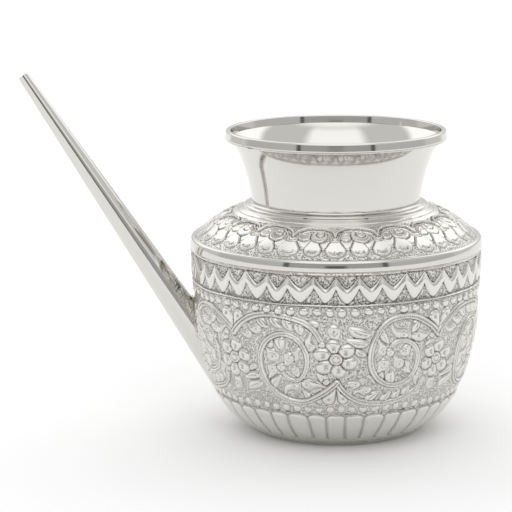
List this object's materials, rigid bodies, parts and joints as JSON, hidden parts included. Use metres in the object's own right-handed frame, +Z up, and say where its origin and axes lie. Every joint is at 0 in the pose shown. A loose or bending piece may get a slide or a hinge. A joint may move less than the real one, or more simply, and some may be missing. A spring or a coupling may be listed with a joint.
{
  "type": "spouted water pot",
  "caption": "Squat silver water pot with a chased body, a plain flared neck with a thick lip and a long straight tapered spout, for pouring a thin stream.",
  "frame": {"origin": "centre of the base, on the face the pot stands on", "axes": "+Z up along the pot's axis, -X towards the spout"},
  "size_m": [0.1613, 0.1024, 0.126],
  "materials": {
    "chased_silver": "sterling silver sheet, chased and matted, satin bright",
    "polished_silver": "sterling silver, buffed to a mirror",
    "silver_solder": "hard silver solder, filed and buffed"
  },
  "bodies": {
    "root": {"bowl": "chased_silver", "shoulder_dome": "chased_silver", "base_disc": "polished_silver", "foot_ring": "polished_silver", "shoulder_band": "polished_silver", "neck_ring": "polished_silver", "neck_collar": "polished_silver", "rim_ring": "polished_silver", "spout_tube": "polished_silver", "base_solder": "silver_solder", "foot_solder": "silver_solder", "shoulder_solder": "silver_solder", "neck_solder": "silver_solder", "rim_solder": "silver_solder", "spout_solder": "silver_solder"}
  },
  "joints": []
}
